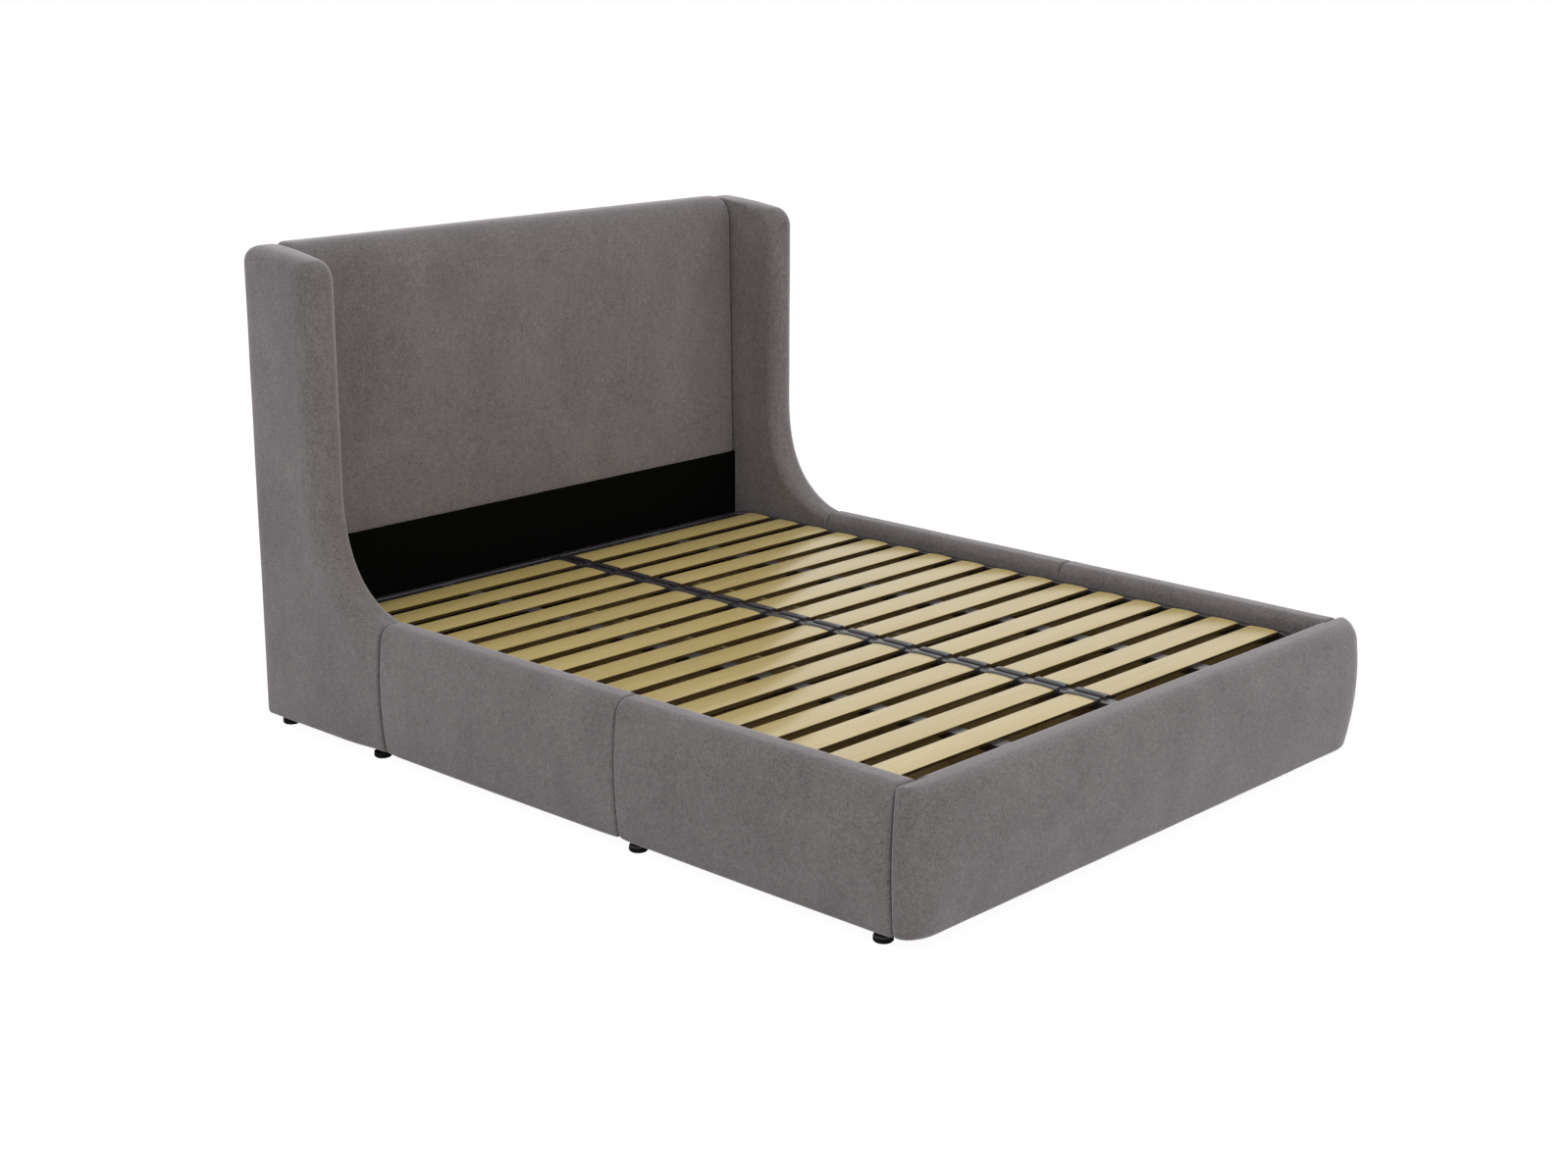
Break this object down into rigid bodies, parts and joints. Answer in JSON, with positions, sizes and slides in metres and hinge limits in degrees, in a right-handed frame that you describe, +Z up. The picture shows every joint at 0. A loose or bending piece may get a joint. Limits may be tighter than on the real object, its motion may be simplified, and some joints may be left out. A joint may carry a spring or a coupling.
{
  "type": "storage bed",
  "caption": "Upholstered storage bed with a winged headboard, padded footboard, slatted steel base and padded drawers that slide out of both long sides.",
  "frame": {"origin": "centre of the bed's footprint on the floor", "axes": "+Z up, +Y towards the headboard, +X to the right seen from the foot"},
  "size_m": [1.83, 2.323, 1.3],
  "materials": {
    "upholstery": "matt chenille, taupe grey",
    "black_lining": "matt black nonwoven",
    "slat_wood": "bare pale bonded veneer",
    "plywood": "bare brown board",
    "timber": "planed softwood",
    "dark_steel": "satin dark grey powder coat",
    "zinc": "zinc plated",
    "grey_plastic": "moulded grey plastic",
    "black_plastic": "moulded black plastic"
  },
  "bodies": {
    "frame": {"headboard_pad": "upholstery", "headboard_backer": "plywood", "headboard_frame": "timber", "lining_board": "black_lining", "rear_panel": "upholstery", "wing_left_pad": "upholstery", "wing_right_pad": "upholstery", "wing_left_core": "plywood", "wing_right_core": "plywood", "wing_bearers": "black_lining", "footboard_pad": "upholstery", "footboard_core": "plywood", "footboard_battens": "timber", "head_wall": "plywood", "mid_wall_head": "plywood", "mid_wall_foot": "plywood", "foot_wall": "plywood", "end_ledges": "black_lining", "centre_beam": "plywood", "centre_legs": "dark_steel", "angle_brackets": "zinc", "bracket_bolts": "zinc", "side_feet": "black_plastic", "inner_feet": "black_plastic", "foot_straps": "dark_steel", "frame_side_tubes": "dark_steel", "frame_head_tube": "dark_steel", "frame_foot_tube": "dark_steel", "centre_rail": "dark_steel", "support_bars": "dark_steel", "slats_left": "slat_wood", "slats_right": "slat_wood", "centre_caps": "grey_plastic", "outer_caps": "grey_plastic", "runner_cabinet_members": "zinc"},
    "drawer_head_left": {"head_left_front_pad": "upholstery", "head_left_front_board": "plywood", "head_left_box": "plywood", "head_left_bottom": "plywood", "head_left_drawer_members": "zinc"},
    "runner_head_left": {"head_left_middle_members": "zinc"},
    "drawer_head_right": {"head_right_front_pad": "upholstery", "head_right_front_board": "plywood", "head_right_box": "plywood", "head_right_bottom": "plywood", "head_right_drawer_members": "zinc"},
    "runner_head_right": {"head_right_middle_members": "zinc"},
    "drawer_foot_left": {"foot_left_front_pad": "upholstery", "foot_left_front_board": "plywood", "foot_left_box": "plywood", "foot_left_bottom": "plywood", "foot_left_drawer_members": "zinc"},
    "runner_foot_left": {"foot_left_middle_members": "zinc"},
    "drawer_foot_right": {"foot_right_front_pad": "upholstery", "foot_right_front_board": "plywood", "foot_right_box": "plywood", "foot_right_bottom": "plywood", "foot_right_drawer_members": "zinc"},
    "runner_foot_right": {"foot_right_middle_members": "zinc"}
  },
  "joints": [
    {"name": "head_left_drawer_slide", "type": "slide", "parent": "frame", "child": "drawer_head_left", "axis": [-1, 0, 0], "range_m": [0, 0.5]},
    {"name": "head_left_runner_slide", "type": "slide", "parent": "frame", "child": "runner_head_left", "axis": [-1, 0, 0], "range_m": [0, 0.25]},
    {"name": "head_right_drawer_slide", "type": "slide", "parent": "frame", "child": "drawer_head_right", "axis": [1, 0, 0], "range_m": [0, 0.5]},
    {"name": "head_right_runner_slide", "type": "slide", "parent": "frame", "child": "runner_head_right", "axis": [1, 0, 0], "range_m": [0, 0.25]},
    {"name": "foot_left_drawer_slide", "type": "slide", "parent": "frame", "child": "drawer_foot_left", "axis": [-1, 0, 0], "range_m": [0, 0.5]},
    {"name": "foot_left_runner_slide", "type": "slide", "parent": "frame", "child": "runner_foot_left", "axis": [-1, 0, 0], "range_m": [0, 0.25]},
    {"name": "foot_right_drawer_slide", "type": "slide", "parent": "frame", "child": "drawer_foot_right", "axis": [1, 0, 0], "range_m": [0, 0.5]},
    {"name": "foot_right_runner_slide", "type": "slide", "parent": "frame", "child": "runner_foot_right", "axis": [1, 0, 0], "range_m": [0, 0.25]}
  ],
  "couplings": [
    {"joint": "head_left_runner_slide", "follows": "head_left_drawer_slide", "ratio": 0.5},
    {"joint": "head_right_runner_slide", "follows": "head_right_drawer_slide", "ratio": 0.5},
    {"joint": "foot_left_runner_slide", "follows": "foot_left_drawer_slide", "ratio": 0.5},
    {"joint": "foot_right_runner_slide", "follows": "foot_right_drawer_slide", "ratio": 0.5}
  ]
}
